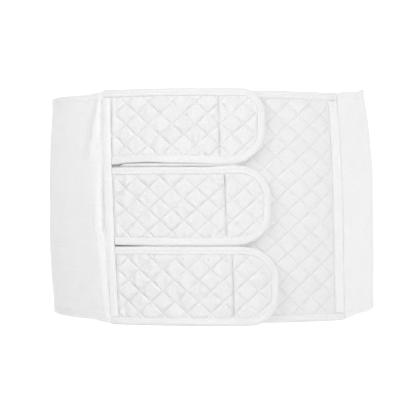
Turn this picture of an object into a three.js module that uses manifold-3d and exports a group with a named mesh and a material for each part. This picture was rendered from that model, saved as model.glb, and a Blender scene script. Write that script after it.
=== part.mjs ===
// Postpartum belt, closed round the waist as it is worn. Millimetres, +Z up.
// Its front faces -Y, the waist passes through it along Z, and the origin is the middle of that hollow.
// Each piece is cut flat, as cloth is, and then laid round the waist. In the flat cut, u runs along the
// waist from the front centre line (towards +X), v runs up, and w points out of the wall.
import * as THREE from "three";
import { mergeVertices } from "three/addons/utils/BufferGeometryUtils.js";
import Module from "manifold-3d";

const wasm = await Module();
wasm.setup();

// Waist and belt
const WAIST_HALF_WIDTH = 175.1;
const WAIST_HALF_DEPTH = 113;
const HALF_HEIGHT = 120.5; // of the front, over all three straps
const GAP = 0.3; // left between pieces that are sewn together

// Stretch knit wrap, with its edges folded into hems
const KNIT_THICKNESS = 1.8;
const HEM_WIDTH = 8;
const HEM_STEP = 1.5; // the hem's fold runs out over this height
const HEM_PROUD_OUTSIDE = 0.5;
const HEM_PROUD_INSIDE = 0.9;

// Quilting: crossing stitch lines leave padded diamonds between them
const DIAMOND_HEIGHT = 22;
const STITCHED_HALF_THICKNESS = 0.8; // of the padding under a quilting stitch
const PRESSED_HALF_THICKNESS = 0.5; // of any cloth inside a binding or under a tape
const SHEET_CELLS = 16; // diamonds from the middle of a sheet to its corner, more than any piece needs

// Binding tape, folded over the edge of a padded piece
const BINDING_WIDTH = 7.5;
const BINDING_WALL = 1;
const BINDING_INNER_HALF = PRESSED_HALF_THICKNESS + GAP;
const BINDING_OUTER_HALF = BINDING_INNER_HALF + BINDING_WALL;
const EDGE_INSET = BINDING_WALL + GAP; // of the cloth inside a binding

// Seam tape, sewn flat over the joint between the wrap and the front
const TAPE_WALL = 1.2;
const TAPE_BEVEL = 1.5;

// How far apart points are placed along the cloth
const STRAIGHT_STEP = 19.5;
const UPRIGHT_STEP = 38;
const CORNER_STEPS = 6;

// Layers at the front, by the height of their middle (or their faces) above the belt's inside
// face. Puff is the height of a diamond there, and crown is its flat top as a share of its width.
const PANEL_LAYER = { middle: 2.1, puff: 1.6, crown: 0, flatInside: false, diamondWidth: 25.4 };
const STRAP_LAYER = { middle: 6.6, puff: 1.8, crown: 0.5, flatInside: true, diamondWidth: 24 };
const HOOK_LAYER = { inside: 4.1, outside: 5.6 };

// The front panel: its free end lies behind the straps and reaches the left seam. Its top edge climbs a
// little towards the right seam, and a stitch crossing places the quilting.
const PANEL = { halfHeight: 118, climb: 1, end: -105.5, endRadius: 14, crossingU: 91.3, crossingV: 29.3 };

// The two seams between the wrap and the front. The slant is how far the seam moves along the waist
// from mid-height to the top edge.
// Reach is the front's half height there, and middle is the height of the front's middle.
const LEFT_SEAM = { along: -104.7, slant: -4.7, tapeWidth: 8.2, reach: 120.5, middle: STRAP_LAYER.middle };
const RIGHT_SEAM = { along: 136.5, slant: -2.9, tapeWidth: 11.7, reach: 118, middle: PANEL_LAYER.middle };

// The straps, from the top down: edges, rounded free end, first stitch line of the hook patch, quilting
const STRAPS = [
  { name: "top", top: HALF_HEIGHT, bottom: 44.4, end: 53.3, topRadius: 24, bottomRadius: 34,
    patchStart: 7.1, crossingU: -16, crossingV: 83.9 },
  { name: "middle", top: 41, bottom: -38.4, end: 59, topRadius: 31, bottomRadius: 33,
    patchStart: 13.5, crossingU: -27.7, crossingV: 8.1 },
  { name: "bottom", top: -41.4, bottom: -HALF_HEIGHT, end: 67.3, topRadius: 33, bottomRadius: 29,
    patchStart: 21.2, crossingU: -13, crossingV: -74.8 },
];
const HOOK_MARGIN = 10; // from the strap's edge to its hook patch
const HOOK_STEP = 5;

// Barrel of the worn belt: how far its top and bottom edges draw in, by the share of the way round
const DRAW_IN = [
  { turn: 0, top: 2, bottom: 2 },
  { turn: 0.25, top: 9.9, bottom: 0.2 },
  { turn: 0.5, top: 6, bottom: 4 },
  { turn: 0.75, top: 3.6, bottom: 6.4 },
  { turn: 1, top: 2, bottom: 2 },
];

// Edges of the wrap and the height of its inside face, from the right seam round the back to the left
const WRAP = [
  { turn: 0.15, top: 119.6, bottom: -118, inside: 1.2 },
  { turn: 0.19, top: 123, bottom: -112, inside: 0.4 },
  { turn: 0.25, top: 128.2, bottom: -107.8, inside: 0 },
  { turn: 0.5, top: 123.4, bottom: -111.8, inside: 0 },
  { turn: 0.75, top: 117.4, bottom: -114.2, inside: 0 },
  { turn: 0.85, top: 117.2, bottom: -116.4, inside: 2.2 },
  { turn: 0.874, top: 118.2, bottom: -118.8, inside: 5 },
  { turn: 0.885, top: 120.5, bottom: -121, inside: 5.7 },
];

// Soft folds of the wrap beside the left seam, ridges and valleys: distance from the seam at mid-height,
// how far the fold leans towards the seam at the top, its rise and half width, and the height and reach
// of its middle
const FOLDS = [
  { away: 25, lean: -1, rise: 1.6, halfWidth: 13, centre: -20, reach: 90 },
  { away: 33.5, lean: 26, rise: 2.4, halfWidth: 4.6, centre: 85, reach: 32 },
  { away: 48.9, lean: 34, rise: -2.2, halfWidth: 6, centre: 87, reach: 30 },
  { away: 15.7, lean: 10.5, rise: -2, halfWidth: 1.8, centre: 94, reach: 20 },
  { away: 15.2, lean: 2, rise: 1.6, halfWidth: 4, centre: -7, reach: 24 },
  { away: 7.4, lean: 1, rise: -3.6, halfWidth: 2.4, centre: 4, reach: 33 },
  { away: 15.6, lean: -6.6, rise: 1.5, halfWidth: 4, centre: -80, reach: 41 },
];

// Stations along the wrap: distances from a seam where the cloth turns, then even steps round the back
const UNDER_TAPE = [0.1, 0.5, 1]; // shares of the tape's half width
const BESIDE_RIGHT_TAPE = [0.6, 6, 14, 24, 36];
const BESIDE_LEFT_TAPE = [0.6, 3, 6, 9, 12, 15.5, 19, 23, 28, 34, 41, 49];
const BACK_STEP = 25;
const WALL_LEVELS = 4;

const waist = new THREE.EllipseCurve(0, 0, WAIST_HALF_WIDTH, WAIST_HALF_DEPTH, -Math.PI / 2, Math.PI * 1.5);
waist.arcLengthDivisions = 720;
const WAIST_LENGTH = waist.getLength();

const smooth = (share) => share * share * (3 - 2 * share);
const mix = THREE.MathUtils.lerp;
const turnAt = (u) => THREE.MathUtils.euclideanModulo(u / WAIST_LENGTH, 1);

// A column of a table, eased between the rows on either side of a place on the way round.
function column(rows, turn, name) {
  const next = rows.findIndex((row) => row.turn >= turn);
  if (next === 0) return rows[0][name];
  if (next < 0) return rows.at(-1)[name];
  const [before, after] = [rows[next - 1], rows[next]];
  return mix(before[name], after[name], smooth((turn - before.turn) / (after.turn - before.turn)));
}

// A point of the flat cut, laid round the waist.
function lay(u, v, w) {
  const turn = turnAt(u);
  const foot = waist.getPointAt(turn);
  const along = waist.getTangentAt(turn);
  const share = v / HALF_HEIGHT;
  const out = w - column(DRAW_IN, turn, share > 0 ? "top" : "bottom") * share * share;
  return new THREE.Vector3(foot.x + along.y * out, foot.y - along.x * out, v);
}

const seamU = (seam, v) => seam.along + (seam.slant * v) / HALF_HEIGHT;

// A geometry from flat faces, each a list of corners, anticlockwise from outside.
function geometryOf(faces) {
  const corners = [];
  for (const face of faces) {
    for (let i = 2; i < face.length; i += 1) corners.push(face[0], face[i - 1], face[i]);
  }
  return new THREE.BufferGeometry().setFromPoints(corners);
}

// Closed wall of cloth between two grids of points: rows run along the cloth, columns across it.
function wallOf(outside, inside) {
  const faces = [];
  const rows = outside.length - 1;
  const columns = outside[0].length - 1;
  for (let i = 0; i < rows; i += 1) {
    for (let j = 0; j < columns; j += 1) {
      faces.push([outside[i][j], outside[i + 1][j], outside[i + 1][j + 1], outside[i][j + 1]]);
      faces.push([inside[i][j], inside[i][j + 1], inside[i + 1][j + 1], inside[i + 1][j]]);
    }
    faces.push([inside[i][0], inside[i + 1][0], outside[i + 1][0], outside[i][0]]);
    faces.push([outside[i][columns], outside[i + 1][columns], inside[i + 1][columns], inside[i][columns]]);
  }
  for (let j = 0; j < columns; j += 1) {
    faces.push([outside[0][j], outside[0][j + 1], inside[0][j + 1], inside[0][j]]);
    faces.push([inside[rows][j], inside[rows][j + 1], outside[rows][j + 1], outside[rows][j]]);
  }
  return geometryOf(faces);
}

function solidOf(geometry) {
  const bare = new THREE.BufferGeometry().setAttribute("position", geometry.getAttribute("position"));
  if (geometry.index) bare.setIndex(geometry.index);
  const merged = mergeVertices(bare, 1e-3);
  return new wasm.Manifold(
    new wasm.Mesh({
      numProp: 3,
      vertProperties: merged.attributes.position.array,
      triVerts: new Uint32Array(merged.index.array),
    }),
  );
}

function geometryFrom(solid) {
  const { vertProperties, triVerts } = solid.getMesh();
  const geometry = new THREE.BufferGeometry();
  geometry.setAttribute("position", new THREE.BufferAttribute(vertProperties, 3));
  geometry.setIndex(new THREE.BufferAttribute(triVerts, 1));
  geometry.computeVertexNormals();
  return geometry;
}

function stepsAlong(curve) {
  if (!curve.isLineCurve) return CORNER_STEPS;
  return Math.ceil(curve.getLength() / (curve.v1.x === curve.v2.x ? UPRIGHT_STEP : STRAIGHT_STEP));
}

// Points along a path of lines and arcs, with the direction that points into the cloth. A path that
// runs clockwise has the cloth on its right.
function edgePoints(path, clockwise) {
  const points = [];
  for (const curve of path.curves.filter((part) => part.getLength() > GAP)) {
    const count = stepsAlong(curve);
    for (let i = points.length ? 1 : 0; i <= count; i += 1) {
      const at = curve.getPointAt(i / count);
      const along = curve.getTangentAt(i / count);
      const inward = clockwise ? new THREE.Vector2(along.y, -along.x) : new THREE.Vector2(-along.y, along.x);
      points.push({ at, inward });
    }
  }
  return points;
}

// The edge of a strap from its seam round the free end and back, drawn clockwise.
function strapEdge(strap, inset, startAt) {
  const top = strap.top - inset;
  const bottom = strap.bottom + inset;
  const end = strap.end - inset;
  const topRadius = strap.topRadius - inset;
  const bottomRadius = strap.bottomRadius - inset;
  return new THREE.Path()
    .moveTo(startAt(strap.top), top)
    .lineTo(end - topRadius, top)
    .absarc(end - topRadius, top - topRadius, topRadius, Math.PI / 2, 0, true)
    .lineTo(end, bottom + bottomRadius)
    .absarc(end - bottomRadius, bottom + bottomRadius, bottomRadius, 0, -Math.PI / 2, true)
    .lineTo(startAt(strap.bottom), bottom);
}

// The edge of the front panel from the right seam round its free end and back, drawn anticlockwise.
function panelEdge(inset, startAt) {
  const reach = PANEL.halfHeight - inset;
  const end = PANEL.end + inset;
  const radius = PANEL.endRadius - inset;
  return new THREE.Path()
    .moveTo(startAt(reach), reach + PANEL.climb)
    .lineTo(end + radius, reach)
    .absarc(end + radius, reach - radius, radius, Math.PI / 2, Math.PI, false)
    .lineTo(end, radius - reach)
    .absarc(end + radius, radius - reach, radius, Math.PI, Math.PI * 1.5, false)
    .lineTo(startAt(-reach), -reach);
}

// A strip along an edge: each line of the profile gives the distance in from the edge and the height.
function alongEdge(points, clockwise, profile) {
  const gridOf = (line) =>
    points.map(({ at, inward }) =>
      line.map(([depth, height]) => lay(at.x + inward.x * depth, at.y + inward.y * depth, height)),
    );
  const [outside, inside] = [gridOf(profile.outside), gridOf(profile.inside)];
  return clockwise ? wallOf(outside, inside) : wallOf(outside.reverse(), inside.reverse());
}

// Binding tape folded over an edge, from the lip on one face round the fold to the lip on the other.
function bindingGeometry(points, clockwise, middle) {
  const lip = BINDING_WIDTH;
  const outer = BINDING_OUTER_HALF;
  const inner = BINDING_INNER_HALF;
  const foldOutside = [[lip, outer - 0.2], [1.2, outer], [0, 0], [1.2, -outer], [lip, 0.2 - outer]];
  const foldInside = [[lip, inner], [1.1, inner], [BINDING_WALL, 0], [1.1, -inner], [lip, -inner]];
  const raise = (line) => line.map(([depth, height]) => [depth, middle + height]);
  return alongEdge(points, clockwise, { outside: raise(foldOutside), inside: raise(foldInside) });
}

// What is pressed out of a padded sheet where it is sewn flat, along a border of some width.
function pressedBorder(points, clockwise, layer, width) {
  const { middle, flatInside } = layer;
  const beyond = 6;
  const slab = (low, high) =>
    solidOf(
      alongEdge(points, clockwise, {
        outside: [[width, high], [-beyond, high]],
        inside: [[width, low], [-beyond, low]],
      }),
    );
  const pressed = PRESSED_HALF_THICKNESS;
  const outside = slab(middle + pressed, middle + beyond);
  return flatInside ? outside : outside.add(slab(middle - beyond, middle - pressed));
}

// Quilted cloth far larger than the piece: each diamond rises from the stitch lines round it to its
// crown outside, and to a low point inside.
function quiltedSheet(layer, crossingU, crossingV) {
  const point = (p, q, height) =>
    lay(
      crossingU + ((p - q) * layer.diamondWidth) / 2,
      crossingV + ((p + q) * DIAMOND_HEIGHT) / 2,
      layer.middle + height,
    );
  const sewn = STITCHED_HALF_THICKNESS;
  const backing = layer.flatInside ? PRESSED_HALF_THICKNESS : sewn;
  const corners = [[0, 0], [1, 0], [1, 1], [0, 1]];
  const cells = SHEET_CELLS;
  const faces = [];
  for (let p = -cells; p < cells; p += 1) {
    for (let q = -cells; q < cells; q += 1) {
      const spread = (share) => corners.map(([i, j]) => [p + mix(0.5, i, share), q + mix(0.5, j, share)]);
      const outside = spread(1).map(([i, j]) => point(i, j, sewn));
      const inside = spread(1).map(([i, j]) => point(i, j, -backing));
      const crown = spread(layer.crown).map(([i, j]) => point(i, j, layer.puff));
      const low = point(p + 0.5, q + 0.5, -layer.puff);
      const edgeOfSheet = [q === -cells, p === cells - 1, q === cells - 1, p === -cells];
      if (layer.crown) faces.push(crown);
      if (layer.flatInside) faces.push([inside[0], inside[3], inside[2], inside[1]]);
      corners.forEach((_, a) => {
        const b = (a + 1) % 4;
        faces.push([outside[a], outside[b], crown[b], ...(layer.crown ? [crown[a]] : [])]);
        if (!layer.flatInside) faces.push([inside[b], inside[a], low]);
        if (edgeOfSheet[a]) faces.push([inside[a], inside[b], outside[b], outside[a]]);
      });
    }
  }
  return geometryOf(faces);
}

// A cutter with the outline of a flat piece, standing well past both faces of the cloth. None of its
// levels, 10 apart, falls within a layer of cloth.
function outlineCutter(points) {
  const below = 40;
  const levels = 13;
  const shape = new THREE.Shape(points.slice(0, -1).map(({ at }) => at));
  const prism = new THREE.ExtrudeGeometry(shape, { depth: levels * 10, steps: levels, bevelEnabled: false });
  const position = prism.getAttribute("position");
  for (let i = 0; i < position.count; i += 1) {
    const placed = lay(position.getX(i), position.getY(i), position.getZ(i) - below);
    position.setXYZ(i, placed.x, placed.y, placed.z);
  }
  return solidOf(prism);
}

// The line of a seam from the bottom edge to the top, past both, with the front on one side of it.
function seamPath(seam) {
  const [bottom, top] = [-HALF_HEIGHT - 6, HALF_HEIGHT + 6];
  return new THREE.Path().moveTo(seamU(seam, bottom), bottom).lineTo(seamU(seam, top), top);
}

// Seam tape between the bindings at the top and bottom edges.
function tapeGeometry(seam) {
  const reach = seam.reach - BINDING_WIDTH - 2 * GAP;
  const half = seam.tapeWidth / 2;
  const inside = seam.middle + PRESSED_HALF_THICKNESS + GAP;
  const edge = inside + TAPE_WALL / 2;
  const crown = inside + TAPE_WALL;
  const rows = Math.ceil((2 * reach) / UPRIGHT_STEP);
  const across = [[-half, edge], [TAPE_BEVEL - half, crown], [half - TAPE_BEVEL, crown], [half, edge]];
  const gridOf = (heightOf) =>
    across.map(([offset, height]) =>
      Array.from({ length: rows + 1 }, (_, i) => {
        const v = mix(-reach, reach, i / rows);
        return lay(seamU(seam, v) + offset, v, heightOf(height));
      }),
    );
  return wallOf(gridOf((height) => height), gridOf(() => inside));
}

// Rise of the wrap's folds at a distance from the left seam.
function foldRise(away, v) {
  return FOLDS.reduce((sum, fold) => {
    const side = (away - fold.away + (fold.lean * v) / HALF_HEIGHT) / fold.halfWidth;
    const end = (v - fold.centre) / fold.reach;
    return sum + fold.rise * Math.exp(-side * side - end * end * end * end);
  }, 0);
}

// One station of the wrap: where it stands, and its two faces from the bottom edge to the top.
function wrapStation(u, underTape) {
  const turn = turnAt(u);
  const share = (u - RIGHT_SEAM.along) / (WAIST_LENGTH + LEFT_SEAM.along - RIGHT_SEAM.along);
  const slant = mix(RIGHT_SEAM.slant, LEFT_SEAM.slant, share);
  const seam = share < 0.5 ? RIGHT_SEAM : LEFT_SEAM;
  const tucked = seam.reach - EDGE_INSET - GAP;
  const top = underTape ? tucked : column(WRAP, turn, "top");
  const bottom = underTape ? -tucked : column(WRAP, turn, "bottom");
  const inside = underTape ? seam.middle - PRESSED_HALF_THICKNESS : column(WRAP, turn, "inside");
  const thickness = underTape ? 2 * PRESSED_HALF_THICKNESS : KNIT_THICKNESS;
  const proud = underTape ? 0 : 1;
  const [wallBottom, wallTop] = [bottom + HEM_WIDTH + HEM_STEP, top - HEM_WIDTH - HEM_STEP];
  const levels = [{ v: bottom, hem: proud }, { v: bottom + HEM_WIDTH, hem: proud }];
  for (let i = 0; i <= WALL_LEVELS; i += 1) {
    levels.push({ v: mix(wallBottom, wallTop, i / WALL_LEVELS), hem: 0 });
  }
  levels.push({ v: top - HEM_WIDTH, hem: proud }, { v: top, hem: proud });
  const away = WAIST_LENGTH + LEFT_SEAM.along - u;
  const place = (v, height) =>
    lay(u + (slant * v) / HALF_HEIGHT, v, inside + height + (underTape ? 0 : foldRise(away, v)));
  return {
    outside: levels.map(({ v, hem }) => place(v, thickness + hem * HEM_PROUD_OUTSIDE)),
    inside: levels.map(({ v, hem }) => place(v, -hem * HEM_PROUD_INSIDE)),
  };
}

// The wrap runs from the right seam round the back to the left seam.
function wrapGeometry() {
  const start = RIGHT_SEAM.along;
  const end = WAIST_LENGTH + LEFT_SEAM.along;
  const under = (seam) => UNDER_TAPE.map((share) => (share * seam.tapeWidth) / 2);
  const rightOut = BESIDE_RIGHT_TAPE.map((away) => RIGHT_SEAM.tapeWidth / 2 + away);
  const leftOut = BESIDE_LEFT_TAPE.map((away) => LEFT_SEAM.tapeWidth / 2 + away);
  const backStart = start + rightOut.at(-1);
  const backEnd = end - leftOut.at(-1);
  const backSteps = Math.round((backEnd - backStart) / BACK_STEP);
  const stations = [
    ...under(RIGHT_SEAM).map((away) => wrapStation(start + away, true)),
    ...rightOut.map((away) => wrapStation(start + away, false)),
  ];
  for (let i = 1; i < backSteps; i += 1) {
    stations.push(wrapStation(mix(backStart, backEnd, i / backSteps), false));
  }
  stations.push(
    ...leftOut.reverse().map((away) => wrapStation(end - away, false)),
    ...under(LEFT_SEAM).reverse().map((away) => wrapStation(end - away, true)),
  );
  return wallOf(stations.map((s) => s.outside), stations.map((s) => s.inside));
}

// How far a rounded corner has left its straight edge, some way past the start of the arc.
function cornerDrop(radius, past) {
  return past > 0 ? radius - Math.sqrt(radius * radius - past * past) : 0;
}

// Hook patch under a strap's free end, rounded as the end is.
function hookGeometry(strap) {
  const [start, end] = [strap.patchStart, strap.end - HOOK_MARGIN];
  const [topRadius, bottomRadius] = [strap.topRadius - HOOK_MARGIN, strap.bottomRadius - HOOK_MARGIN];
  const columns = Math.ceil((end - start) / HOOK_STEP);
  const rows = 2;
  const gridOf = (height) =>
    Array.from({ length: columns + 1 }, (_, i) => {
      const u = mix(start, end, i / columns);
      const top = strap.top - HOOK_MARGIN - cornerDrop(topRadius, u - end + topRadius);
      const bottom = strap.bottom + HOOK_MARGIN + cornerDrop(bottomRadius, u - end + bottomRadius);
      return Array.from({ length: rows + 1 }, (_, j) => lay(u, mix(bottom, top, j / rows), height));
    });
  return wallOf(gridOf(HOOK_LAYER.outside), gridOf(HOOK_LAYER.inside));
}

const quiltedCotton = new THREE.MeshStandardMaterial({ color: 0xf3f3f2, roughness: 0.95, metalness: 0 });
const bindingTape = new THREE.MeshStandardMaterial({ color: 0xf8f8f7, roughness: 0.9, metalness: 0 });
const stretchKnit = new THREE.MeshStandardMaterial({ color: 0xf0f0ef, roughness: 0.92, metalness: 0 });
const hookTape = new THREE.MeshStandardMaterial({ color: 0xe9e9e6, roughness: 0.6, metalness: 0 });

const belt = new THREE.Group();

function addPiece(name, geometry, material) {
  const mesh = new THREE.Mesh(geometry, material);
  mesh.name = name;
  belt.add(mesh);
}

addPiece("stretch_wrap", wrapGeometry(), stretchKnit);
addPiece("seam_tape_left", tapeGeometry(LEFT_SEAM), bindingTape);
addPiece("seam_tape_right", tapeGeometry(RIGHT_SEAM), bindingTape);

// A padded piece: quilted cloth cut to its outline, and pressed flat in its binding and at its seam.
function padSolid(layer, piece, clockwise, edgeAt, seam) {
  const side = clockwise ? 1 : -1;
  const startedFrom = (away) => (v) => seamU(seam, v) + side * away;
  const outline = edgePoints(edgeAt(EDGE_INSET, startedFrom(GAP)).closePath(), clockwise);
  const boundEdge = edgePoints(edgeAt(0, startedFrom(-6)), clockwise);
  const seamLine = edgePoints(seamPath(seam), clockwise);
  return solidOf(quiltedSheet(layer, piece.crossingU, piece.crossingV))
    .intersect(outlineCutter(outline))
    .subtract(pressedBorder(boundEdge, clockwise, layer, BINDING_WIDTH + GAP))
    .subtract(pressedBorder(seamLine, clockwise, layer, seam.tapeWidth / 2 + GAP));
}

// Front panel. Its binding runs on over the end of the seam tape and meets the wrap's hem there.
const panelPad = padSolid(PANEL_LAYER, PANEL, false, panelEdge, RIGHT_SEAM);
const panelTapeEnd = (v) => seamU(RIGHT_SEAM, v) + RIGHT_SEAM.tapeWidth / 2 - GAP;
const panelBound = edgePoints(panelEdge(0, panelTapeEnd), false);
addPiece("front_panel", geometryFrom(panelPad), quiltedCotton);
addPiece("front_binding", bindingGeometry(panelBound, false, PANEL_LAYER.middle), bindingTape);

// Straps. The belt's top and bottom edges are bound past the seam tape, and the edges between the
// straps only up to it.
for (const strap of STRAPS) {
  const edgeAt = (inset, startAt) => strapEdge(strap, inset, startAt);
  const pad = padSolid(STRAP_LAYER, strap, true, edgeAt, LEFT_SEAM);
  const halfTape = LEFT_SEAM.tapeWidth / 2;
  const fromSeam = (v) => (Math.abs(v) === HALF_HEIGHT ? GAP - halfTape : halfTape + 2 * GAP);
  const boundStart = (v) => seamU(LEFT_SEAM, v) + fromSeam(v);
  const bound = edgePoints(strapEdge(strap, 0, boundStart), true);
  addPiece(`strap_${strap.name}`, geometryFrom(pad), quiltedCotton);
  addPiece(`strap_${strap.name}_binding`, bindingGeometry(bound, true, STRAP_LAYER.middle), bindingTape);
  addPiece(`strap_${strap.name}_hook_patch`, hookGeometry(strap), hookTape);
}

export default belt;
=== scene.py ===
import bpy
import math
import numpy as np
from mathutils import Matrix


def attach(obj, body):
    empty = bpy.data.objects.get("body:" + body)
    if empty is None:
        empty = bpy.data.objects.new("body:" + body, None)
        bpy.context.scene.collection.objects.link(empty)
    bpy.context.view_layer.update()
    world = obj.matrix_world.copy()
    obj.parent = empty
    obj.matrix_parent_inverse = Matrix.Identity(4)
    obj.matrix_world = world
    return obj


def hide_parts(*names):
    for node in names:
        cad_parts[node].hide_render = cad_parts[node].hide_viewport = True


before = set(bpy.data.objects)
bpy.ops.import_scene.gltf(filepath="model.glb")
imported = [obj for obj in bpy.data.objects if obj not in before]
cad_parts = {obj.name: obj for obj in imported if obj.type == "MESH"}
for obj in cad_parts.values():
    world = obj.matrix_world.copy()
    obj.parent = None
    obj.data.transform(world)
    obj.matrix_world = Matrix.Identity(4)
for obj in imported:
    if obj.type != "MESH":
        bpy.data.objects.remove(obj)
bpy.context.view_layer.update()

# The belt is cut flat in millimetres: x along the waist, y up, z out of the wall.
# Each piece is then laid round the waist.
waist = {
    "halfWidth": 175.1,
    "halfDepth": 113.0,
    "halfHeight": 120.5,
    "turns": [0, 0.25, 0.5, 0.75, 1],  # shares of the way round from the front
    "drawInTop": [2, 9.9, 6, 3.6, 2],
    "drawInBottom": [2, 0.2, 4, 6.4, 2],
}
leftSeam = {"along": -104.7, "slant": -4.7, "halfTape": 4.1, "reach": 120.5, "middle": 6.6}
rightSeam = {"along": 136.5, "slant": -2.9, "halfTape": 5.85, "reach": 118.0, "middle": 2.1}

angles = np.linspace(-math.pi / 2, 1.5 * math.pi, 7201)
roundX = waist["halfWidth"] * np.cos(angles)
roundY = waist["halfDepth"] * np.sin(angles)
roundLength = np.concatenate([[0], np.cumsum(np.hypot(np.diff(roundX), np.diff(roundY)))])
waistLength = roundLength[-1]


def easeBetween(turn, turns, values):
    turns = np.asarray(turns, float)
    values = np.asarray(values, float)
    row = np.clip(np.searchsorted(turns, turn) - 1, 0, len(turns) - 2)
    share = np.clip((turn - turns[row]) / (turns[row + 1] - turns[row]), 0, 1)
    return values[row] + (values[row + 1] - values[row]) * share * share * (3 - 2 * share)


def layRound(points):  # flat millimetres to metres round the waist
    turn = (points[:, 0] / waistLength) % 1
    angle = np.interp(turn * waistLength, roundLength, angles)
    alongX = -waist["halfWidth"] * np.sin(angle)
    alongY = waist["halfDepth"] * np.cos(angle)
    size = np.hypot(alongX, alongY)
    share = points[:, 1] / waist["halfHeight"]
    drawn = [easeBetween(turn, waist["turns"], waist[name]) for name in ("drawInTop", "drawInBottom")]
    out = points[:, 2] - np.where(share > 0, *drawn) * share * share
    x = waist["halfWidth"] * np.cos(angle) + alongY / size * out
    y = waist["halfDepth"] * np.sin(angle) - alongX / size * out
    return np.column_stack([x, y, points[:, 1]]) / 1000


def seamAt(seam, up):
    return seam["along"] + seam["slant"] * up / waist["halfHeight"]


waves = {"count": 9, "shortest": 0.7, "longest": 1.6, "start": 6.28, "level": 4.2}


def ripple(x, y, size, seed):  # smooth waves of about one size, mostly from -1 to 1
    draw = np.random.default_rng(seed)
    total = 0
    for wave in range(waves["count"]):
        heading = draw.uniform(0, math.pi)
        pace = 2 * math.pi / (size * draw.uniform(waves["shortest"], waves["longest"]))
        reach = x * math.cos(heading) + y * math.sin(heading)
        total = total + np.sin(pace * reach + draw.uniform(0, waves["start"]))
    return total / waves["level"]


def bell(distance, halfWidth):  # 1 in the middle, fading to both sides
    return np.exp(-((distance / halfWidth) ** 2))


def unit(vectors):
    return vectors / np.linalg.norm(vectors, axis=-1, keepdims=True)


def lengthAlong(line):  # distance from the start of a line of points to each point
    steps = np.linalg.norm(np.diff(line, axis=0), axis=1)
    return np.concatenate([[0], np.cumsum(steps)])


def pointsAt(line, reach, where):
    return np.column_stack([np.interp(where, reach, column) for column in line.T])


# Modelling helpers
def deselectAll():
    bpy.ops.object.select_all(action="DESELECT")


def makeActive(piece):
    deselectAll()
    piece.select_set(True)
    bpy.context.view_layer.objects.active = piece


def startEdit(piece):
    makeActive(piece)
    bpy.ops.object.mode_set(mode="EDIT")


def endEdit():
    bpy.ops.object.mode_set(mode="OBJECT")


def readArray(items, name, kind, width=1):
    values = np.empty(len(items) * width, kind)
    items.foreach_get(name, values)
    return values


def readPoints(piece):
    return readArray(piece.data.vertices, "co", float, 3).reshape(-1, 3)


def writePoints(piece, points):
    piece.data.vertices.foreach_set("co", np.ascontiguousarray(points, float).ravel())
    piece.data.update()


def addGrid(name, columns, rows):
    deselectAll()
    bpy.ops.mesh.primitive_grid_add(x_subdivisions=columns, y_subdivisions=rows, size=1)
    piece = bpy.context.object
    piece.name = name
    piece.data.name = name
    place = readPoints(piece)[:, :2] + 0.5  # shares of the way along and across
    return piece, place


def cornersOf(piece):
    return readArray(piece.data.loops, "vertex_index", int)


def setCut(piece, along, across):  # flat position in millimetres, kept as the UV map that the weave follows
    layer = piece.data.uv_layers[0] if piece.data.uv_layers else piece.data.uv_layers.new()
    layer.name = "flatCut"
    corners = cornersOf(piece)
    flat = np.column_stack([along[corners], across[corners]])
    layer.data.foreach_set("uv", flat.astype(np.float32).ravel())


def deleteFaces(piece, doomed):
    piece.data.vertices.foreach_set("select", np.zeros(len(piece.data.vertices), bool))
    piece.data.edges.foreach_set("select", np.zeros(len(piece.data.edges), bool))
    piece.data.polygons.foreach_set("select", doomed)
    startEdit(piece)
    bpy.ops.mesh.select_mode(type="FACE")
    bpy.ops.mesh.delete(type="FACE")
    endEdit()


def openEdgePoints(piece):  # which points lie on the open edge of a sheet
    ends = readArray(piece.data.edges, "vertices", int, 2).reshape(-1, 2)
    uses = np.bincount(readArray(piece.data.loops, "edge_index", int), minlength=len(ends))
    found = np.zeros(len(piece.data.vertices), bool)
    found[ends[uses == 1].ravel()] = True
    return found


def doubleSheet(piece):  # adds a second face, joined at the sheet's edge
    rise = 0.5  # taken back once the faces are told apart
    startEdit(piece)
    bpy.ops.mesh.select_mode(type="FACE")
    bpy.ops.mesh.select_all(action="SELECT")
    bpy.ops.mesh.extrude_region_move(TRANSFORM_OT_translate={"value": (0, 0, rise)})
    endEdit()
    front = readArray(piece.data.vertices, "select", bool)
    points = readPoints(piece)
    points[front, 2] -= rise
    setCut(piece, points[:, 0], points[:, 1])
    return points, front


def pointOut(piece):
    startEdit(piece)
    bpy.ops.mesh.select_all(action="SELECT")
    bpy.ops.mesh.normals_make_consistent(inside=False)
    endEdit()


def sweptCloth(name, sections, cutAlong, cutAcross):  # closed outlines, one after the other, with capped ends
    stations, outline = sections.shape[:2]
    piece, place = addGrid(name, stations - 1, outline)
    station = np.rint(place[:, 0] * (stations - 1)).astype(int)
    corner = np.rint(place[:, 1] * outline).astype(int)
    setCut(piece, cutAlong[station, corner % outline], cutAcross[station, corner])
    writePoints(piece, sections[station, corner % outline])
    startEdit(piece)
    bpy.ops.mesh.select_all(action="SELECT")
    bpy.ops.mesh.remove_doubles(threshold=0.0005)
    bpy.ops.mesh.fill_holes(sides=0)
    bpy.ops.mesh.normals_make_consistent(inside=False)
    endEdit()
    return piece


def finishPiece(piece, material, nodes=(), sharp=50, warp=None):
    points = readPoints(piece)
    writePoints(piece, layRound(warp(points) if warp else points))
    piece.data.materials.clear()
    piece.data.materials.append(material)
    makeActive(piece)
    bpy.ops.object.shade_smooth_by_angle(angle=math.radians(sharp))
    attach(piece, "root")
    if nodes:
        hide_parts(*nodes)


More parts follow.
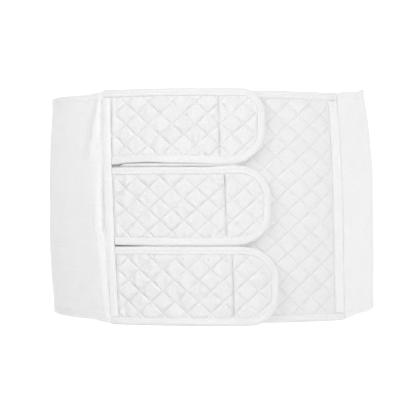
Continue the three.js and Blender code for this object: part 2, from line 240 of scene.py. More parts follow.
# Cloth finishes: fine yarn relief that follows the flat cut, soft colour variation, sheen
onePerUnit = 0.31416  # a wave texture of this scale has one wave a unit
clothLook = {
    "bumpDepth": 0.00025, "weaveTone": 0.45,
    "surface": {"Sheen Roughness": 0.5, "Specular IOR Level": 0.2},
    "yarn": {"Detail": 1.5, "Detail Scale": 0.35},
    "fuzz": {"Scale": 1.1, "Detail": 4.0, "Roughness": 0.65},
    "slub": {"Scale": 1.0, "Detail": 2.0, "Roughness": 0.55},
    "cloud": {"Scale": 0.06, "Detail": 3.0, "Roughness": 0.6},
}


def setInputs(node, values):
    for name, value in values.items():
        node.inputs[name].default_value = value


def addNode(tree, kind, values, **links):
    node = tree.nodes.new(kind)
    setInputs(node, values)
    for name, source in links.items():
        tree.links.new(source, node.inputs[name])
    return node


def mathNode(tree, operation, *values):  # a number is set on its socket, an output is joined to it
    node = tree.nodes.new("ShaderNodeMath")
    node.operation = operation
    for place, value in enumerate(values):
        if isinstance(value, float):
            node.inputs[place].default_value = value
        else:
            tree.links.new(value, node.inputs[place])
    return node.outputs["Value"]


def clothFinish(name, finish):
    material = bpy.data.materials.new(name)
    material.use_nodes = True
    tree = material.node_tree
    shader = tree.nodes["Principled BSDF"]
    setInputs(shader, {"Sheen Weight": finish["sheen"], **clothLook["surface"]})
    cutMap = tree.nodes.new("ShaderNodeUVMap")
    cutMap.uv_map = "flatCut"
    cut = cutMap.outputs["UV"]
    turn = {"Rotation": (0, 0, math.radians(finish.get("yarnTurn", 0)))}
    turned = addNode(tree, "ShaderNodeMapping", turn, Vector=cut).outputs["Vector"]

    yarns = []
    for direction, spacing in (("X", finish["warpSpacing"]), ("Y", finish["weftSpacing"])):
        bands = {"Scale": onePerUnit / spacing, "Distortion": finish["wander"], **clothLook["yarn"]}
        yarn = addNode(tree, "ShaderNodeTexWave", bands, Vector=turned)
        yarn.bands_direction = direction
        yarns.append(yarn.outputs["Fac"])
    weave = mathNode(tree, "MULTIPLY", *yarns)

    fuzz = addNode(tree, "ShaderNodeTexNoise", clothLook["fuzz"], Vector=cut).outputs["Fac"]
    slubCut = addNode(tree, "ShaderNodeMapping", {"Scale": (*finish["slub"], 1)}, Vector=cut)
    slubNoise = addNode(tree, "ShaderNodeTexNoise", clothLook["slub"], Vector=slubCut.outputs["Vector"])
    slub = slubNoise.outputs["Fac"]
    height = mathNode(tree, "MULTIPLY_ADD", fuzz, finish["fuzz"], weave)
    height = mathNode(tree, "MULTIPLY_ADD", slub, finish["nubs"], height)
    relief = {"Strength": finish["relief"], "Distance": clothLook["bumpDepth"]}
    bump = addNode(tree, "ShaderNodeBump", relief, Height=height)
    tree.links.new(bump.outputs["Normal"], shader.inputs["Normal"])

    cloud = addNode(tree, "ShaderNodeTexNoise", clothLook["cloud"], Vector=cut).outputs["Fac"]
    paler = mathNode(tree, "MULTIPLY_ADD", weave, clothLook["weaveTone"], cloud)
    streak = mathNode(tree, "MULTIPLY_ADD", slub, finish["streak"], paler)
    tone = tree.nodes.new("ShaderNodeMix")
    tone.data_type = "RGBA"
    setInputs(tone, {"A": (*finish["shade"], 1), "B": (*finish["tint"], 1)})
    tree.links.new(mathNode(tree, "SUBTRACT", streak, finish["streak"] / 2), tone.inputs["Factor"])
    tree.links.new(tone.outputs["Result"], shader.inputs["Base Color"])

    least, most = finish["rough"]
    rough = addNode(tree, "ShaderNodeMapRange", {"To Min": least, "To Max": most}, Value=fuzz)
    tree.links.new(rough.outputs["Result"], shader.inputs["Roughness"])
    return material


quiltedCotton = clothFinish("quiltedCotton", {
    "tint": (0.9, 0.9, 0.897), "shade": (0.84, 0.84, 0.836), "sheen": 0.15, "rough": (0.82, 0.98),
    "warpSpacing": 0.62, "weftSpacing": 0.7, "wander": 1.2, "fuzz": 0.9, "relief": 0.6,
    "slub": (0.7, 0.5), "nubs": 4.0, "streak": 3.0,
})
tapeWeave = {"sheen": 0.12, "rough": (0.78, 0.94), "wander": 0.8, "fuzz": 0.6, "relief": 0.55}
bindingTape = clothFinish("bindingTape", {
    **tapeWeave, "tint": (0.91, 0.91, 0.907), "shade": (0.83, 0.83, 0.827),
    "warpSpacing": 0.55, "weftSpacing": 1.3, "slub": (0.5, 0.6), "nubs": 2.6, "streak": 2.2,
})
seamTape = clothFinish("seamTape", {
    **tapeWeave, "tint": (0.94, 0.94, 0.937), "shade": (0.87, 0.87, 0.867),
    "warpSpacing": 1.6, "weftSpacing": 0.55, "slub": (0.3, 0.5), "nubs": 1.8, "streak": 1.0,
})
stretchKnit = clothFinish("stretchKnit", {
    "tint": (0.97, 0.97, 0.967), "shade": (0.9, 0.9, 0.897), "sheen": 0.2, "rough": (0.84, 0.98),
    "warpSpacing": 1.25, "weftSpacing": 0.85, "wander": 1.0, "fuzz": 1.0, "relief": 0.85,
    "slub": (0.6, 0.5), "nubs": 3.0, "streak": 3.0,
})
hookTape = clothFinish("hookTape", {
    "tint": (0.86, 0.86, 0.85), "shade": (0.74, 0.74, 0.73), "sheen": 0.05, "rough": (0.5, 0.7),
    "warpSpacing": 1.4, "weftSpacing": 1.2, "wander": 0.3, "fuzz": 0.3, "relief": 0.9,
    "slub": (0.5, 0.5), "nubs": 0.8, "streak": 0.6,
})
threadTwist = {
    "sheen": 0.1, "rough": (0.55, 0.75), "warpSpacing": 0.4, "weftSpacing": 0.3, "yarnTurn": 35,
    "wander": 0.4, "fuzz": 0.2, "relief": 0.4, "slub": (0.5, 0.5), "nubs": 0.3, "streak": 0.4,
}
# The quilting thread is painted grey. This is painted shade for the dark creases along the stitch lines; the
# real thread is white.
creaseShadedThread = clothFinish("creaseShadedThread", {
    **threadTwist, "tint": (0.74, 0.74, 0.737), "shade": (0.62, 0.62, 0.617),
})
edgeThread = clothFinish("edgeThread", {
    **threadTwist, "tint": (0.93, 0.93, 0.927), "shade": (0.86, 0.86, 0.857),
})
print("cloth finishes ready")


# Sewn lines: one stitch is modelled, then copied along every line
stitch = {"length": 2.5, "width": 0.5, "height": 0.4, "pitch": 3.5, "dip": 0.2, "look": 0.6, "proud": 0.05}
deselectAll()
bpy.ops.mesh.primitive_ico_sphere_add(subdivisions=1, radius=1)
bpy.ops.transform.resize(value=(stitch["length"] / 2, stitch["width"] / 2, stitch["height"] / 2))
bpy.ops.object.transform_apply(location=False, rotation=False, scale=True)
stitchModel = bpy.context.object
stitchPoints = readPoints(stitchModel)
towardsEnd = 2 * stitchPoints[:, 0] / stitch["length"]
stitchPoints[:, 2] -= stitch["dip"] * towardsEnd**2  # the ends go into the cloth
stitchFaces = cornersOf(stitchModel).reshape(-1, 3)
bpy.data.objects.remove(stitchModel)


def stitchesAlong(line, seed=0):  # middles and directions of stitches along a line of flat points
    reach = lengthAlong(line)
    start = stitch["pitch"] * (0.5 + 0.4 * np.random.default_rng(seed).random())
    middles = np.arange(start, reach[-1] - stitch["pitch"] / 2, stitch["pitch"])
    before = pointsAt(line, reach, middles - stitch["look"])
    after = pointsAt(line, reach, middles + stitch["look"])
    return np.hstack([pointsAt(line, reach, middles), unit(after - before)])


def sewStitches(name, runs, thread, warp=None):
    runs = np.vstack(runs)
    middle, heading = runs[:, None, :3], runs[:, None, 3:]
    side = unit(np.cross(np.array([0, 0, 1.0]), heading))
    rise = np.cross(heading, side)
    shape = stitchPoints[None]
    points = middle + shape[:, :, 0:1] * heading + shape[:, :, 1:2] * side + shape[:, :, 2:3] * rise
    points = points.reshape(-1, 3)
    faces = stitchFaces[None] + len(stitchPoints) * np.arange(len(runs))[:, None, None]
    mesh = bpy.data.meshes.new(name)
    mesh.from_pydata(points.tolist(), [], faces.reshape(-1, 3).tolist())
    piece = bpy.data.objects.new(name, mesh)
    bpy.context.collection.objects.link(piece)
    setCut(piece, points[:, 0], points[:, 1])
    finishPiece(piece, thread, sharp=180, warp=warp)
    return piece


# Edges with rounded corners, walked from a seam round the free end and back
edgeStep = 1.6
cornerSteps = 40


def roundedEdge(corners, radii):
    corners = [np.array(corner, float) for corner in corners]
    line = [corners[0]]
    for before, corner, after, radius in zip(corners, corners[1:], corners[2:], radii):
        inDirection = unit(corner - before)
        outDirection = unit(after - corner)
        turn = math.acos(np.clip(inDirection @ outDirection, -1, 1))
        reach = radius * math.tan(turn / 2)
        middle = corner + unit(outDirection - inDirection) * radius / math.cos(turn / 2)
        first = corner - inDirection * reach - middle
        last = corner + outDirection * reach - middle
        for share in np.linspace(0, 1, cornerSteps):
            swing = first * math.sin((1 - share) * turn) + last * math.sin(share * turn)
            line.append(middle + swing / math.sin(turn))
    line = np.array(line + [corners[-1]])
    reach = lengthAlong(line)
    where = np.linspace(0, reach[-1], int(reach[-1] / edgeStep) + 1)
    points = pointsAt(line, reach, where)
    return points, unit(np.gradient(points, axis=0)), where


def strapEdge(strap, startTop, startBottom):
    corners = [
        (startTop, strap["top"]),
        (strap["end"], strap["top"]),
        (strap["end"], strap["bottom"]),
        (startBottom, strap["bottom"]),
    ]
    points, heading, where = roundedEdge(corners, [strap["topRadius"], strap["bottomRadius"]])
    return points, np.column_stack([heading[:, 1], -heading[:, 0]]), where  # the strap is on the right


def cornerDepth(edge, side, radius):  # distance in from two edges that meet in a rounded corner
    rounded = radius - np.hypot(radius - edge, radius - side)
    return np.where((edge < radius) & (side < radius), rounded, np.minimum(edge, side))


def strapDepth(strap, along, up):
    side = strap["end"] - along
    top = cornerDepth(strap["top"] - up, side, strap["topRadius"])
    return np.minimum(top, cornerDepth(up - strap["bottom"], side, strap["bottomRadius"]))


# Binding: tape folded over an edge and sewn down near its lips
binding = {
    "width": 7.5, "wall": 0.95, "half": 1.6, "lipHalf": 0.86, "lipWall": 0.55,
    "nose": 0.48, "noseDepth": 1.9, "flatFrom": 2.4, "faceEnd": 2.7,
    "stitchDepth": 4.5, "stitchDip": 0.36, "stitchWidth": 0.6, "stitchProud": 0.04,
}
pucker = {
    "plain": 0.09, "perBend": 5.0, "spread": 9, "size": 4.2, "depth": 4.4, "halfWidth": 1.8,
    "uneven": 0.05, "unevenSize": 7,
}


def bindingHeight(depth):  # middle of the tape above the cloth's middle, on one face
    nose = np.clip((depth - binding["nose"]) / binding["noseDepth"], 0, 1)
    flat = np.clip((depth - binding["flatFrom"]) / (binding["width"] - binding["flatFrom"]), 0, 1)
    sewn = binding["stitchDip"] * bell(depth - binding["stitchDepth"], binding["stitchWidth"])
    rounded = binding["half"] * np.sqrt(1 - (1 - nose) ** 2)
    return rounded - (binding["half"] - binding["lipHalf"]) * flat**2 - sewn


def bindingProfile():  # closed outline of the folded tape: depth in from the edge, height
    turn = np.radians(np.linspace(90, 0, 9))
    face = np.linspace(binding["width"], binding["faceEnd"], 13)
    depth = np.concatenate([face, binding["nose"] + binding["noseDepth"] * (1 - np.sin(turn))])
    height = bindingHeight(depth)
    depth = np.concatenate([depth, depth[-2::-1]])
    height = np.concatenate([height, -height[-2::-1]])
    middle = np.column_stack([depth, height])
    heading = unit(np.gradient(middle, axis=0))
    outward = np.column_stack([heading[:, 1], -heading[:, 0]])
    wall = np.full((len(middle), 1), binding["wall"] / 2)
    wall[[0, -1]] *= binding["lipWall"]  # soft lips
    return np.vstack([middle + outward * wall, (middle - outward * wall)[::-1]])


def makeBinding(node, edge, middle, seed, warp=None):
    points, inward, where = edge
    profile = bindingProfile()
    bend = np.abs(np.gradient(np.unwrap(np.arctan2(inward[:, 1], inward[:, 0])), where))
    spread = np.ones(pucker["spread"]) / pucker["spread"]
    strength = pucker["plain"] + pucker["perBend"] * np.convolve(bend, spread, "same")
    wave = ripple(where, where * 0, pucker["size"], seed)[:, None] * strength[:, None]
    depth, height = profile[None, :, 0], profile[None, :, 1]
    face = np.sign(height)
    hump = bell(depth - pucker["depth"], pucker["halfWidth"]) * face
    uneven = ripple(where[:, None] + 0 * depth, depth * 2 + 40 * face, pucker["unevenSize"], seed + 1)
    height = height + hump * wave + pucker["uneven"] * uneven
    flat = points[:, None, :] + inward[:, None, :] * depth[..., None]
    sections = np.dstack([flat, middle + height])
    across = lengthAlong(np.vstack([profile, profile[:1]]))
    cutAlong = np.repeat(where[:, None], len(profile), axis=1)
    piece = sweptCloth(node + "_tape", sections, cutAlong, np.repeat(across[None], len(where), axis=0))
    finishPiece(piece, bindingTape, [node], warp=warp)


def bindingStitches(edge, middle, seed, faces=(1,)):
    points, inward, where = edge
    flat = points + inward * binding["stitchDepth"]
    top = bindingHeight(np.array([binding["stitchDepth"]]))[0] + binding["wall"] / 2 + binding["stitchProud"]
    lines = [np.column_stack([flat, np.full(len(flat), middle + face * top)]) for face in faces]
    return [stitchesAlong(line, seed) for line in lines]


# Quilted pads: the cloth is sewn along diamonds, and padding pushes it out between the lines
padding = {
    "uneven": 0.04, "quality": 7, "mass": 0.3, "stretch": 40.0, "shear": 16.0, "airDamping": 3,
    "lowest": -0.15,
}
wrinkles = {"upShare": 0.3, "fineShare": 0.3, "fineSize": 0.6, "steepness": 2.5, "calmShare": 0.55}
edgeInset = 1.9  # of the padded cloth inside its binding
seamOverlap = 0.4  # of the padded cloth short of the seam's middle
coverMargin = 0.3  # from a binding or tape to the cloth that shows


def clothRoom(depthOf, fromSeam, halfTape):  # distance inside the cut edge, and inside what covers it
    def roomOf(along, up):
        return np.minimum(depthOf(along, up) - edgeInset, fromSeam(along, up) - seamOverlap)

    def openOf(along, up):
        fromBinding = depthOf(along, up) - binding["width"] - coverMargin
        return np.minimum(fromBinding, fromSeam(along, up) - halfTape - coverMargin)

    return roomOf, openOf


def latticeShares(quilt, along, up):
    across = (along - quilt["crossing"][0]) / (quilt["diamond"][0] / 2)
    upward = (up - quilt["crossing"][1]) / (quilt["diamond"][1] / 2)
    return (across + upward) / 2, (upward - across) / 2


def latticePlace(quilt, p, q):
    along = quilt["crossing"][0] + (p - q) * quilt["diamond"][0] / 2
    up = quilt["crossing"][1] + (p + q) * quilt["diamond"][1] / 2
    return along, up


def latticeCorners(quilt, limits):
    corners = np.array([(x, y) for x in limits[:2] for y in limits[2:]], float)
    return latticeShares(quilt, corners[:, 0], corners[:, 1])


def quiltedSheet(name, quilt, limits, roomOf):  # flat sheet whose mesh lines follow the stitch lines
    p, q = latticeCorners(quilt, limits)
    low = np.floor([p.min(), q.min()])
    count = np.ceil([p.max(), q.max()]) - low
    piece, place = addGrid(name, int(count[0]) * quilt["steps"], int(count[1]) * quilt["steps"])
    along, up = latticePlace(quilt, low[0] + place[:, 0] * count[0], low[1] + place[:, 1] * count[1])
    writePoints(piece, np.column_stack([along, up, 0 * up]))
    room = roomOf(along, up)
    deleteFaces(piece, room[cornersOf(piece)].reshape(-1, 4).min(axis=1) < 0)
    points = readPoints(piece)
    edge = openEdgePoints(piece)
    x, y = points[edge, 0], points[edge, 1]
    room = roomOf(x, y)
    step = 0.05
    slope = np.column_stack([roomOf(x + step, y) - room, roomOf(x, y + step) - room]) / step
    farthest = 1.9
    points[edge, :2] -= slope * np.minimum(room, farthest)[:, None]  # the cut edge is moved onto its line
    writePoints(piece, points)
    return piece


def simulatePadding(piece, quilt, start, sewn, calm, seed):
    noisy = start.copy()
    noise = np.random.default_rng(seed).standard_normal(len(start))
    noisy[:, 2] = np.where(sewn, 0, padding["uneven"] * noise)
    writePoints(piece, noisy)
    for groupName, members in (("sewn", sewn), ("calm", calm)):
        group = piece.vertex_groups.new(name=groupName)
        group.add(np.flatnonzero(members).tolist(), 1.0, "REPLACE")
    makeActive(piece)
    cloth = piece.modifiers.new("padding", "CLOTH")
    settings = cloth.settings
    settings.quality = padding["quality"]
    settings.mass = padding["mass"]
    settings.tension_stiffness = padding["stretch"]
    settings.compression_stiffness = padding["stretch"]
    settings.shear_stiffness = padding["shear"]
    settings.bending_stiffness = quilt["bending"]
    settings.air_damping = padding["airDamping"]
    settings.use_pressure = True
    settings.use_pressure_volume = True
    settings.target_volume = 0  # the same push whatever the volume
    settings.uniform_pressure_force = quilt["pressure"]
    settings.vertex_group_mass = "sewn"
    settings.vertex_group_shrink = "calm"
    settings.shrink_min = -quilt["slack"]
    settings.shrink_max = -quilt["calmSlack"]
    settings.effector_weights.gravity = 0
    cloth.collision_settings.use_collision = False
    scene = bpy.context.scene
    for moment in range(1, quilt["moments"] + 1):
        scene.frame_set(moment)
    bpy.ops.object.modifier_apply(modifier=cloth.name)
    scene.frame_set(1)
    piece.vertex_groups.clear()
    moved = readPoints(piece) - start
    far = np.linalg.norm(moved, axis=1)
    kept = quilt["cap"] * np.tanh(far / quilt["cap"]) / np.maximum(far, 1e-6)
    moved *= kept[:, None]  # puffs level off at the cap
    moved[:, 2] = np.maximum(moved[:, 2], padding["lowest"])
    return start + moved


def puffSheet(piece, quilt, pressed, calm, seed):
    start = readPoints(piece)
    p, q = latticeShares(quilt, start[:, 0], start[:, 1])
    onLine = (np.abs(p - np.rint(p)) < 0.01) | (np.abs(q - np.rint(q)) < 0.01)
    sewn = pressed | onLine
    dome = np.abs(np.sin(math.pi * p) * np.sin(math.pi * q))
    puffed = simulatePadding(piece, quilt, start, sewn, calm, seed)
    size = quilt["wrinkleSize"]
    folds = ripple(start[:, 0], wrinkles["upShare"] * start[:, 1], size, seed + 3)
    fine = ripple(start[:, 0], start[:, 1], wrinkles["fineSize"] * size, seed + 4)
    folds += wrinkles["fineShare"] * fine
    inDiamond = np.minimum(1, wrinkles["steepness"] * dome)
    folds *= quilt["wrinkle"] * inDiamond * np.where(calm, wrinkles["calmShare"], 1)
    puffed[:, 2] += np.where(sewn, 0, folds) - np.where(onLine & ~pressed, quilt["crease"], 0)
    puffed[:, 2] = np.maximum(puffed[:, 2], -quilt["crease"])  # nothing lies lower than the stitch lines
    writePoints(piece, puffed)
    print(piece.name, "puffed up to", round(float(puffed[:, 2].max()), 2), "mm")


def closePad(piece, quilt):  # front and back of the pad, from the puffed sheet
    points, front = doubleSheet(piece)
    puff = points[:, 2].copy()
    sunk = np.minimum(puff, 0)
    back = quilt["middle"] - quilt["sewnHalf"] - quilt["back"] * (puff - sunk) - quilt["backLines"] * sunk
    points[:, 2] = np.where(front, quilt["middle"] + quilt["sewnHalf"] + puff, back)
    writePoints(piece, points)
    pointOut(piece)
    return front


def quiltingStitches(quilt, limits, openOf, seed):  # along both families of stitch lines, where they show
    p, q = latticeCorners(quilt, limits)
    height = quilt["middle"] + quilt["sewnHalf"] - quilt["crease"] + stitch["proud"]
    runs = []
    for family, other, flip in ((p, q, False), (q, p, True)):
        for line in range(math.floor(family.min()), math.ceil(family.max()) + 1):
            span = np.linspace(other.min(), other.max(), 200)
            pLine, qLine = (span, 0 * span + line) if flip else (0 * span + line, span)
            along, up = latticePlace(quilt, pLine, qLine)
            run = stitchesAlong(np.column_stack([along, up, 0 * up + height]), seed + line + 50 * flip)
            runs.append(run[openOf(run[:, 0], run[:, 1]) > stitch["length"] / 2])
    return runs


# Straps: sewn on at the left seam, with bound edges and a hook patch behind each free end
strapQuilt = {
    "diamond": (24.0, 22.0), "steps": 16, "middle": 6.6, "sewnHalf": 0.5, "back": 0.1, "backLines": -0.75,
    "slack": 0.05, "calmSlack": 0.025, "bending": 0.08, "pressure": 0.12,
    "moments": 24, "cap": 1.7, "quickPuff": 1.7, "crease": 0.4, "wrinkle": 1.0, "wrinkleSize": 10.0,
}
shiftPlaces = [-104, -84, -64, -41, -7, 7, 22, 44]  # along the waist, for the shifts of the straps' edges
straps = {
    "strap_top": {"top": 120.5, "bottom": 44.4, "end": 53.3, "topRadius": 24, "bottomRadius": 34,
        "patchStart": 7.1, "crossing": (-16.0, 83.9),
        "topShift": [0] * 8, "bottomShift": [-1.2, 0.5, 1.1, 0.1, -0.5, -2.0, -1.0, 0]},
    "strap_middle": {"top": 41.0, "bottom": -38.4, "end": 59.0, "topRadius": 31, "bottomRadius": 33,
        "patchStart": 13.5, "crossing": (-27.7, 8.1),
        "topShift": [-0.4, -0.3, -0.2, -0.2, -0.5, 0.4, 1.2, 0],
        "bottomShift": [-0.4, -0.8, -0.9, -0.9, -1.0, -1.0, -0.7, 0]},
    "strap_bottom": {"top": -41.4, "bottom": -120.5, "end": 67.3, "topRadius": 33, "bottomRadius": 29,
        "patchStart": 21.2, "crossing": (-13.0, -74.8),
        "topShift": [0.7, 1.2, 1.2, 1.1, 1.3, 1.3, 1.2, 0.3], "bottomShift": [0] * 8},
}
seamRoll = {  # the cloth rolls up beside the seam tape
    "away": 7.4, "halfWidth": 2.2, "rise": 1.1, "uneven": 0.5, "unevenSize": 16,
}
hookLine = {  # the stitch line that holds the hook patch
    "lean": 0.03, "dip": 1.7, "halfWidth": 0.7, "pressed": 0.75, "fade": 3, "short": 8,
}
hookPatch = {
    "margin": 10.0, "inside": 4.1, "outside": 5.6, "pastLine": 1.6,
    "hooks": 0.15, "pile": 0.1, "pileSize": 2.5,
}


def shiftStrap(strap, points):  # the edges wander, so the gaps beside the strap open and close
    points = points.copy()
    middle, half = (strap["top"] + strap["bottom"]) / 2, (strap["top"] - strap["bottom"]) / 2
    share = (points[:, 1] - middle) / half
    shifts = [easeBetween(points[:, 0], shiftPlaces, strap[name]) for name in ("topShift", "bottomShift")]
    points[:, 1] += np.where(share > 0, *shifts) * np.abs(share) ** 3
    return points


def makeStrap(name, strap, seed):
    quilt = dict(strapQuilt, crossing=strap["crossing"])
    halfTape = leftSeam["halfTape"]
    limits = (seamAt(leftSeam, strap["top"]) - 2, strap["end"], strap["bottom"], strap["top"])

    def warp(points):
        return shiftStrap(strap, points)

    def fromSeam(along, up):
        return along - seamAt(leftSeam, up)

    def lineAt(up):
        return strap["patchStart"] - hookLine["lean"] * (up - (strap["top"] + strap["bottom"]) / 2)

    def bindingStart(up):  # the belt's own edges are bound past the tape, the others up to it
        outer = abs(up) == waist["halfHeight"]
        return seamAt(leftSeam, up) + (coverMargin - halfTape if outer else halfTape + 2 * coverMargin)

    roomOf, openOf = clothRoom(lambda along, up: strapDepth(strap, along, up), fromSeam, halfTape)
    pad = quiltedSheet(name + "_pad", quilt, limits, roomOf)
    points = readPoints(pad)
    along, up = points[:, 0], points[:, 1]
    fromLine = along - lineAt(up)
    pressed = (openOf(along, up) < 0) | (np.abs(fromLine) < hookLine["pressed"])
    puffSheet(pad, quilt, pressed, along > lineAt(up), seed)
    points = readPoints(pad)
    shown = np.clip(openOf(along, up) / hookLine["fade"], 0, 1)
    points[:, 2] -= shown * hookLine["dip"] * bell(fromLine, hookLine["halfWidth"])
    roll = bell(fromSeam(along, up) - seamRoll["away"], seamRoll["halfWidth"])
    uneven = 1 + seamRoll["uneven"] * ripple(up, 0 * up, seamRoll["unevenSize"], seed + 7)
    points[:, 2] += shown * seamRoll["rise"] * roll * uneven
    writePoints(pad, points)
    closePad(pad, quilt)
    finishPiece(pad, quiltedCotton, [name], warp=warp)

    edge = strapEdge(strap, bindingStart(strap["top"]), bindingStart(strap["bottom"]))
    makeBinding(name + "_binding", edge, quilt["middle"], seed, warp)
    sewStitches(name + "_edge_stitching", bindingStitches(edge, quilt["middle"], seed), edgeThread, warp)
    runs = quiltingStitches(quilt, limits, openOf, seed)
    lineUp = np.linspace(strap["bottom"] + hookLine["short"], strap["top"] - hookLine["short"], 60)
    height = quilt["middle"] + quilt["sewnHalf"] - hookLine["dip"] + stitch["proud"]
    runs.append(stitchesAlong(np.column_stack([lineAt(lineUp), lineUp, 0 * lineUp + height]), seed))
    sewStitches(name + "_quilting", runs, creaseShadedThread, warp)
    makeHookPatch(name + "_hook_patch", strap)


def makeHookPatch(node, strap):  # rounded as the strap's end is
    margin = hookPatch["margin"]
    start, end = strap["patchStart"] + hookPatch["pastLine"], strap["end"] - margin
    patch, place = addGrid(node + "_hooks", 34, 40)
    along = start + place[:, 0] * (end - start)

    def drop(radius):
        return radius - np.sqrt(radius**2 - np.clip(along - end + radius, 0, radius) ** 2)

    top = strap["top"] - margin - drop(strap["topRadius"] - margin)
    bottom = strap["bottom"] + margin + drop(strap["bottomRadius"] - margin)
    up = bottom + place[:, 1] * (top - bottom)
    writePoints(patch, np.column_stack([along, up, 0 * up]))
    points, front = doubleSheet(patch)
    pile = hookPatch["pile"] * ripple(points[:, 0], points[:, 1], hookPatch["pileSize"], 77)
    points[:, 2] = np.where(front, hookPatch["outside"], hookPatch["inside"] + hookPatch["hooks"] + pile)
    writePoints(patch, points)
    pointOut(patch)
    finishPiece(patch, hookTape, [node])


for order, (strapName, strap) in enumerate(straps.items()):
    makeStrap(strapName, strap, 11 + order)
    print(strapName, "made")


# Front panel: its quilting is flatter, and its free end reaches the left seam behind the straps
panel = {"halfHeight": 118.0, "climb": 1.0, "end": -105.5, "endRadius": 14.0, "pastSeam": 3}
panelQuilt = {
    "diamond": (25.4, 22.0), "crossing": (91.3, 29.3), "steps": 13, "middle": 2.1, "sewnHalf": 0.5,
    "back": 0.8, "backLines": 0.8,
    "slack": 0.012, "calmSlack": 0.012, "bending": 0.5, "pressure": 0.045,
    "moments": 20, "cap": 0.9, "quickPuff": 0.5, "crease": 0.25, "wrinkle": 0.06, "wrinkleSize": 8.0,
}
betweenStraps = [  # where the panel's padding rises into the gaps between the straps
    {"up": 42.9, "from": -88.0, "to": 22.0, "crest": 7.4},
    {"up": -39.6, "from": -70.0, "to": 24.0, "crest": 6.7},
]
crestShape = {"halfWidth": 2.4, "fade": 10}


def panelDepth(along, up):
    side = along - panel["end"]
    share = side / (rightSeam["along"] - panel["end"])
    top = cornerDepth(panel["halfHeight"] + panel["climb"] * share - up, side, panel["endRadius"])
    return np.minimum(top, cornerDepth(up + panel["halfHeight"], side, panel["endRadius"]))


def makePanel(seed):
    halfTape = rightSeam["halfTape"]
    reach, climb = panel["halfHeight"], panel["climb"]
    limits = (panel["end"], rightSeam["along"] + panel["pastSeam"], -reach, reach + climb)

    def toSeam(along, up):
        return seamAt(rightSeam, up) - along

    roomOf, openOf = clothRoom(panelDepth, toSeam, halfTape)
    pad = quiltedSheet("front_panel_pad", panelQuilt, limits, roomOf)
    points = readPoints(pad)
    noneCalm = np.zeros(len(points), bool)
    puffSheet(pad, panelQuilt, openOf(points[:, 0], points[:, 1]) < 0, noneCalm, seed)
    front = closePad(pad, panelQuilt)
    points = readPoints(pad)
    for gap in betweenStraps:
        fromEnds = np.minimum(points[:, 0] - gap["from"], gap["to"] - points[:, 0])
        inside = np.clip(fromEnds / crestShape["fade"] + 1, 0, 1)
        share = front * inside * bell(points[:, 1] - gap["up"], crestShape["halfWidth"])
        points[:, 2] += share * (gap["crest"] - points[:, 2])
    writePoints(pad, points)
    finishPiece(pad, quiltedCotton, ["front_panel"])

    corners = [
        (seamAt(rightSeam, reach) + halfTape - coverMargin, reach + climb),
        (panel["end"], reach),
        (panel["end"], -reach),
        (seamAt(rightSeam, -reach) + halfTape - coverMargin, -reach),
    ]
    points, heading, where = roundedEdge(corners, [panel["endRadius"]] * 2)
    edge = points, np.column_stack([-heading[:, 1], heading[:, 0]]), where  # the panel is on the left
    middle = panelQuilt["middle"]
    makeBinding("front_binding", edge, middle, seed)
    sewStitches("front_edge_stitching", bindingStitches(edge, middle, seed, (1, -1)), edgeThread)
    sewStitches("front_panel_quilting", quiltingStitches(panelQuilt, limits, openOf, seed), creaseShadedThread)


makePanel(31)
print("front panel made")


# Seam tapes: woven tape sewn flat along both its edges
tape = {
    "wall": 1.2, "lift": 0.8, "edge": 0.7, "edgeWidth": 0.9, "crown": 0.25, "short": 0.6, "trim": 0.995,
    "stitchInset": 1.5, "stitchDip": 0.4, "stitchWidth": 0.5,
    "wave": 0.09, "waveSize": 6, "sway": 0.12, "swaySize": 30, "stations": 150, "columns": 27,
}
tapeRidge = {  # a fold of the right tape stands up beside the wrap, with a dip before it
    "across": 2.6, "rise": 0.55, "halfWidth": 0.75, "dip": 0.25, "dipBefore": 1.7, "dipHalfWidth": 0.6,
}


def makeSeamTape(node, seam, ridged, seed):
    reach = seam["reach"] - binding["width"] - tape["short"]
    half = seam["halfTape"]
    up = np.linspace(-reach, reach, tape["stations"])
    places = np.linspace(-half, half, tape["columns"])
    edge = np.clip((half - np.abs(places)) / tape["edgeWidth"], 0, 1)
    shape = tape["edge"] + (tape["wall"] - tape["edge"]) * np.sqrt(1 - (1 - edge) ** 2)
    shape = shape + tape["crown"] * (1 - (places / half) ** 2)
    for line in (half - tape["stitchInset"], tape["stitchInset"] - half):
        shape = shape - tape["stitchDip"] * bell(places - line, tape["stitchWidth"])
    if ridged:
        fromRidge = places - tapeRidge["across"]
        shape = shape + tapeRidge["rise"] * bell(fromRidge, tapeRidge["halfWidth"])
        shape = shape - tapeRidge["dip"] * bell(fromRidge + tapeRidge["dipBefore"], tapeRidge["dipHalfWidth"])
    wave = ripple(up[:, None] + 0 * places, 0 * up[:, None] + 3 * places, tape["waveSize"], seed)
    base = seam["middle"] + tape["lift"]
    outer = base + shape[None] + tape["wave"] * wave * edge[None]
    inner = np.full_like(outer, base)
    height = np.hstack([outer, inner[:, ::-1]])
    offset = np.concatenate([places, places[::-1]])
    last = tape["columns"] - 1
    offset[[0, last, last + 1, -1]] *= tape["trim"]
    sway = tape["sway"] * ripple(up, 0 * up, tape["swaySize"], seed + 5)
    along = seamAt(seam, up)[:, None] + offset[None] + sway[:, None]
    sections = np.dstack([along, np.repeat(up[:, None], len(offset), axis=1), height])
    across = np.repeat(lengthAlong(np.append(offset, offset[0])[:, None])[None], len(up), axis=0)
    piece = sweptCloth(node + "_woven", sections, sections[..., 1], across)
    finishPiece(piece, seamTape, [node])
    runs = []
    for side in (-1, 1):
        line = side * (half - tape["stitchInset"])
        top = np.interp(line, places, shape) + base + stitch["proud"]
        runs.append(stitchesAlong(np.column_stack([seamAt(seam, up) + line, up, 0 * up + top]), seed + side))
    return runs


tapeRuns = makeSeamTape("seam_tape_left", leftSeam, False, 41)
tapeRuns += makeSeamTape("seam_tape_right", rightSeam, True, 43)
sewStitches("seam_tape_stitching", tapeRuns, edgeThread)
print("seam tapes made")


